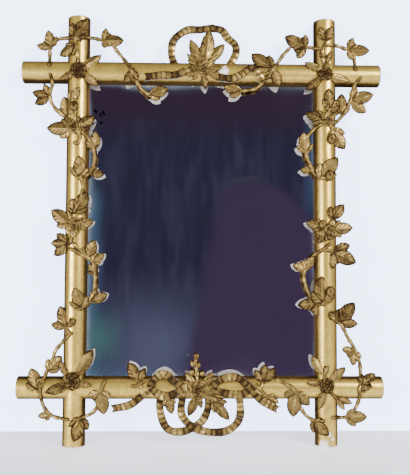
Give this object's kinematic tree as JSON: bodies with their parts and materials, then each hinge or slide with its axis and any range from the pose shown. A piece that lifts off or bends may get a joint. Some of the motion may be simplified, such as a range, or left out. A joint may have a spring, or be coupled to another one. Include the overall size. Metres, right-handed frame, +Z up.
{
  "type": "giltwood mirror",
  "caption": "Upright wall mirror in a gilded wooden frame of crossed round rods with applied ivy sprays, flowers and ribbon bows, held from behind by turn buttons.",
  "frame": {"origin": "on the standing plane, midway between the two stiles, in the plane of the rods' axes", "axes": "+X to the right seen from the front, +Y to the back, +Z up along the stiles"},
  "size_m": [0.613, 0.0546, 0.725],
  "materials": {
    "rod_gilt": "water gilt, worn",
    "ornament_gilt": "toned gilt",
    "mirror_glass": "old silvering",
    "back_wood": "raw, aged",
    "brass": "dull"
  },
  "bodies": {
    "frame": {"backboard_lower": "back_wood", "backboard_upper": "back_wood", "bow_arch_bottom_left": "ornament_gilt", "bow_arch_bottom_right": "ornament_gilt", "bow_loop_bottom_left": "ornament_gilt", "bow_loop_bottom_right": "ornament_gilt", "bow_loop_top_left": "ornament_gilt", "bow_loop_top_right": "ornament_gilt", "button_screws": "brass", "corner_flower_bottom_left": "ornament_gilt", "corner_flower_bottom_right": "ornament_gilt", "corner_flower_top_left": "ornament_gilt", "corner_flower_top_right": "ornament_gilt", "hanging_eye_left": "brass", "hanging_eye_right": "brass", "joint_pegs": "back_wood", "leaf_fan_top": "ornament_gilt", "mid_cluster_left": "ornament_gilt", "mid_cluster_right": "ornament_gilt", "mirror_plate": "mirror_glass", "plate_slips": "back_wood", "rail_bottom": "rod_gilt", "rail_top": "rod_gilt", "ribbon_tail_bottom_left": "ornament_gilt", "ribbon_tail_bottom_right": "ornament_gilt", "ribbon_tail_top_left": "ornament_gilt", "ribbon_tail_top_right": "ornament_gilt", "rose_bottom": "ornament_gilt", "rose_top": "ornament_gilt", "spray_bottom_left_inner": "ornament_gilt", "spray_bottom_left_rail": "ornament_gilt", "spray_bottom_right_inner": "ornament_gilt", "spray_bottom_right_rail": "ornament_gilt", "spray_top_left_rail": "ornament_gilt", "spray_top_left_side": "ornament_gilt", "spray_top_left_stile": "ornament_gilt", "spray_top_right_rail": "ornament_gilt", "spray_top_right_side": "ornament_gilt", "spray_top_right_stile": "ornament_gilt", "stile_cluster_left_upper": "ornament_gilt", "stile_cluster_right_upper": "ornament_gilt", "stile_left": "rod_gilt", "stile_right": "rod_gilt", "vine_bottom_left_lower": "ornament_gilt", "vine_bottom_left_outer": "ornament_gilt", "vine_bottom_right_lower": "ornament_gilt", "vine_bottom_right_outer": "ornament_gilt", "vine_left_lower": "ornament_gilt", "vine_left_upper": "ornament_gilt", "vine_right_lower": "ornament_gilt", "vine_right_upper": "ornament_gilt"},
    "turn_button_lower_left": {"turn_button_lower_left": "brass"},
    "turn_button_lower_right": {"turn_button_lower_right": "brass"},
    "turn_button_upper_left": {"turn_button_upper_left": "brass"},
    "turn_button_upper_right": {"turn_button_upper_right": "brass"},
    "hanging_ring_left": {"hanging_ring_left": "brass"},
    "hanging_ring_right": {"hanging_ring_right": "brass"}
  },
  "joints": [
    {"name": "turn_button_lower_left_turn", "type": "hinge", "parent": "frame", "child": "turn_button_lower_left", "pos_m": [-0.212, 0.01205, 0.233], "axis": [0, 1, 0], "continuous": true},
    {"name": "turn_button_lower_right_turn", "type": "hinge", "parent": "frame", "child": "turn_button_lower_right", "pos_m": [0.212, 0.01205, 0.233], "axis": [0, 1, 0], "continuous": true},
    {"name": "turn_button_upper_left_turn", "type": "hinge", "parent": "frame", "child": "turn_button_upper_left", "pos_m": [-0.212, 0.01205, 0.492], "axis": [0, 1, 0], "continuous": true},
    {"name": "turn_button_upper_right_turn", "type": "hinge", "parent": "frame", "child": "turn_button_upper_right", "pos_m": [0.212, 0.01205, 0.492], "axis": [0, 1, 0], "continuous": true},
    {"name": "hanging_ring_left_swing", "type": "hinge", "parent": "frame", "child": "hanging_ring_left", "pos_m": [-0.212, 0.0184, 0.42835], "axis": [1, 0, 0], "range_deg": [-8, 188]},
    {"name": "hanging_ring_right_swing", "type": "hinge", "parent": "frame", "child": "hanging_ring_right", "pos_m": [0.212, 0.0184, 0.42835], "axis": [1, 0, 0], "range_deg": [-8, 188]}
  ]
}
